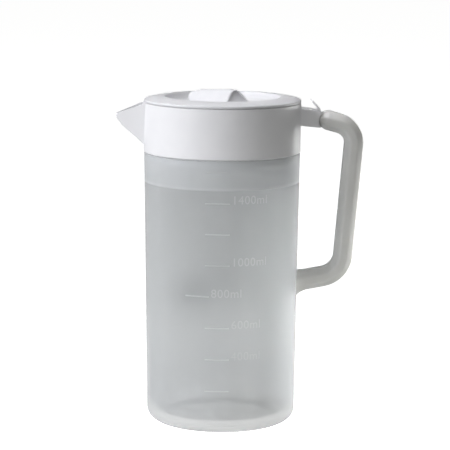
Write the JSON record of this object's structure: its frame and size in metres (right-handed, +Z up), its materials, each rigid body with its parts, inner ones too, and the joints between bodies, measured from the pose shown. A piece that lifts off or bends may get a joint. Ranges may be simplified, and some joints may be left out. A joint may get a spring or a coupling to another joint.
{
  "type": "water pitcher",
  "caption": "Tall translucent water pitcher with a hinged white lid, a beak spout, a twist disc with a grip bar that opens and shuts the spout, a thumb tab and a D-handle",
  "frame": {"origin": "centre of the foot ring, on the plane the pitcher stands on", "axes": "+Z up along the jug's axis; +X towards the handle, so the spout points to -X; -Y is the side with the graduations, the side the picture shows; +Y across the jug"},
  "size_m": [0.1788, 0.1134, 0.2435],
  "materials": {
    "jug_plastic": "translucent milky plastic, faintly blue, smooth",
    "white_plastic": "opaque white plastic, satin gloss",
    "screw_steel": "plain steel",
    "seal_rubber": "pale silicone"
  },
  "bodies": {
    "jug": {"jug_body": "jug_plastic", "handle": "white_plastic", "handle_screw": "screw_steel", "hinge_pin": "white_plastic"},
    "lid": {"lid_shell": "white_plastic", "lid_seal": "seal_rubber", "thumb_tab": "white_plastic"},
    "twist": {"twist_top": "white_plastic", "twist_sleeve": "white_plastic", "twist_seal": "seal_rubber"}
  },
  "joints": [
    {"name": "lid_hinge", "type": "hinge", "parent": "jug", "child": "lid", "pos_m": [0.0764, 0, 0.2204], "axis": [0, 1, 0], "range_deg": [0, 95]},
    {"name": "twist_turn", "type": "hinge", "parent": "lid", "child": "twist", "pos_m": [0, 0, 0.2332], "axis": [0, 0, 1], "range_deg": [-120, 60]}
  ]
}
